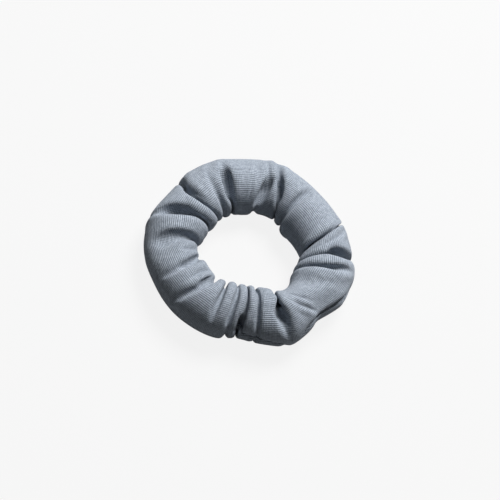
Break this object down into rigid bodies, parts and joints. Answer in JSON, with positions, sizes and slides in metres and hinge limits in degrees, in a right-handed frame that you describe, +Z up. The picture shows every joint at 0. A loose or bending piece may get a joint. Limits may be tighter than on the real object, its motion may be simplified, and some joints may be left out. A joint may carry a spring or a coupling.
{
  "type": "scrunchie",
  "caption": "Hair scrunchie: a jersey tube gathered over a loop of flat elastic, which stretches to go round a ponytail.",
  "frame": {"origin": "the middle of the ring, on the plane that the scrunchie lies on", "axes": "+Z up out of that plane, along the way that hair passes through the ring; +X is the way that the ring stretches, towards the half with the closing seam; the seam that closes the ring is 24 degrees from +X towards +Y"},
  "size_m": [0.105, 0.105, 0.0255],
  "materials": {
    "jersey": "matte",
    "elastic": "matte",
    "thread": "satin",
    "elastic_thread": "satin"
  },
  "bodies": {
    "left_half": {"sleeve_middle": "jersey", "long_seam_needle_thread_middle": "thread", "long_seam_bobbin_thread_middle": "thread"},
    "right_half": {"sleeve_first_end": "jersey", "sleeve_last_end": "jersey", "long_seam_needle_thread_first_end": "thread", "long_seam_bobbin_thread_first_end": "thread", "long_seam_needle_thread_last_end": "thread", "long_seam_bobbin_thread_last_end": "thread", "closing_seam_needle_thread": "thread", "closing_seam_bobbin_thread": "thread", "elastic_band": "elastic", "elastic_lap_needle_thread": "elastic_thread", "elastic_lap_bobbin_thread": "elastic_thread"}
  },
  "joints": [
    {"name": "stretch", "type": "slide", "parent": "left_half", "child": "right_half", "axis": [1, 0, 0], "range_m": [0, 0.07], "stiffness_N_per_m": 50, "deforming": ["elastic_band"]}
  ]
}
